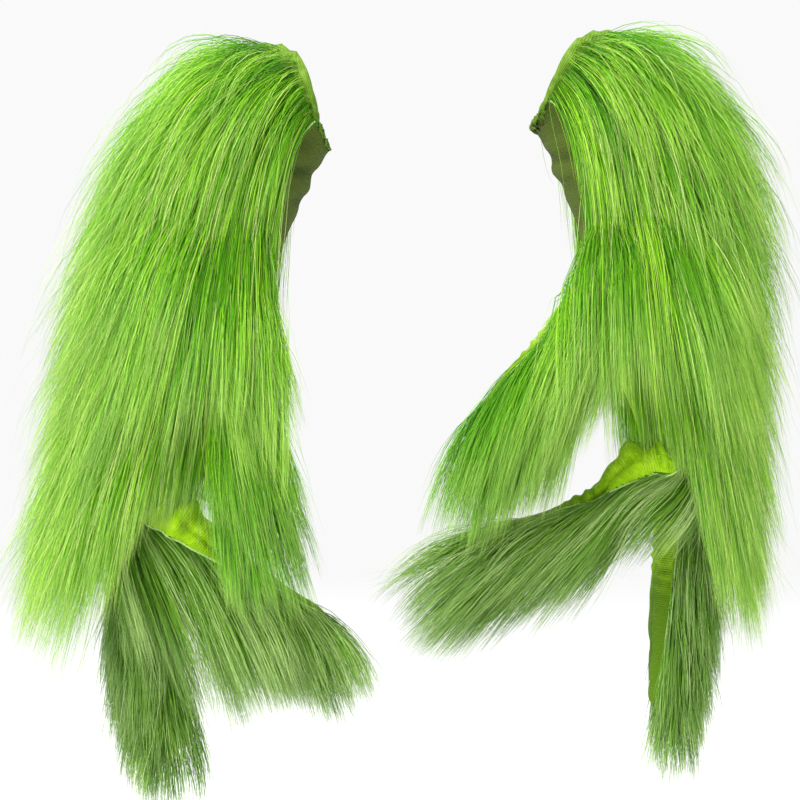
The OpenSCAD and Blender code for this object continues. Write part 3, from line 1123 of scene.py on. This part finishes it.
def stitch_row(side, arm):
    """The row of stitches that holds the turned hem."""
    count = 84
    points = cuff_ring(arm, HEM_WIDTH * 0.72 * MM, -2.95 * MM, count * 2)
    radius = 0.32 * MM * np.array([0.5, 1, 1.1, 1, 0.5])
    stitches = []
    for k in range(count):
        path = np.linspace(points[2 * k], points[2 * k + 1], len(radius))
        stitches.append(tube_along(path, radius))
    verts, faces = gathered(stitches)
    mesh = bpy.data.meshes.new(f"{side}_hem_stitches")
    mesh.from_pydata(verts.tolist(), [], faces)
    mesh.materials.append(MATERIALS["thread"])
    obj = new_object(mesh.name, mesh)
    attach(obj, HELD)
    return obj


# ---------------------------------------------------------------- gloves


def panel_names(limb):
    """The CAD nodes' names for a limb's backing, its plush and its fur, without the side."""
    base = "sleeve" if limb.name == "arm" else limb.name
    return [f"{base}_{part}" for part in ("back", "palm", "pile")]


def build_glove(side):
    """Every piece of one glove, in its own place."""
    arm = arm_limb(side)
    limbs = [arm] + [finger_limb(side, name, arm) for name in FINGERS]
    skin = build_skin(side, limbs)
    tree = BVHTree.FromPolygons(skin["verts"].tolist(), skin["quads"].tolist())
    for i, limb in enumerate(limbs):
        back, palm, pile = panel_names(limb)
        cloth_piece(skin, limbs, i, True, f"{side}_{back}", MATERIALS["backing"])
        plush = MATERIALS["sleeve_plush" if limb.name == "arm" else "plush"]
        cloth_piece(skin, limbs, i, False, f"{side}_{palm}", plush)
        # the fingers other than the thumb take the long fur with painted shade
        fur = MATERIALS["fur" if limb.name in ("arm", "thumb") else "finger_fur"]
        fur_pieces(skin, limbs, i, f"{side}_{pile}", fur)
        seam_piece(skin, limbs, i, tree)
    hem_piece(side, arm, tree)
    stitch_row(side, arm)


# ---------------------------------------------------------------- stage


def plane(name, size, at, colour):
    """A plain matt square of the stage."""
    bpy.ops.mesh.primitive_plane_add(size=size, location=at)
    obj = bpy.context.object
    obj.name = name
    m = Nodes(name)
    m.shader.inputs["Base Color"].default_value = colour
    m.shader.inputs["Roughness"].default_value = 0.9
    obj.data.materials.append(m.material)
    return obj


def area_light(name, at, aim, size, power):
    """A soft square light that points at a place."""
    light = bpy.data.lights.new(name, "AREA")
    light.size = size
    light.energy = power
    obj = new_object(name, light)
    obj.location = at
    obj.rotation_euler = (Vector(aim) - Vector(at)).to_track_quat("-Z", "Y").to_euler()
    return obj


def build_stage():
    """The floor, the light and the camera, as in a plain white studio."""
    floor_height = -0.47
    plane("floor", 6, (0, 0, floor_height), (0.93, 0.93, 0.93, 1))
    world = bpy.data.worlds.new("studio")
    world.use_nodes = True
    background = world.node_tree.nodes["Background"]
    background.inputs["Color"].default_value = WHITE
    background.inputs["Strength"].default_value = 0.95
    bpy.context.scene.world = world
    middle = (-0.02, 0, -0.15)
    area_light("key", (-1.05, -1.15, 0.95), middle, 0.9, 34)
    area_light("fill", (0.9, -1.4, 0.1), middle, 1.2, 3)
    area_light("top", (0.1, 0.5, 1.4), middle, 1.0, 12)
    camera = bpy.data.cameras.new("camera")
    distance = 1.5
    seen_width = 0.448
    camera.sensor_width = 36
    camera.lens = camera.sensor_width * distance / seen_width
    obj = new_object("camera", camera)
    obj.location = (-0.019, -distance, -0.1729)
    obj.rotation_euler = (math.pi / 2, 0, 0)
    bpy.context.scene.camera = obj
    bpy.context.scene.view_settings.view_transform = "Standard"


build_stage()
for glove_side in ("right", "left"):
    build_glove(glove_side)
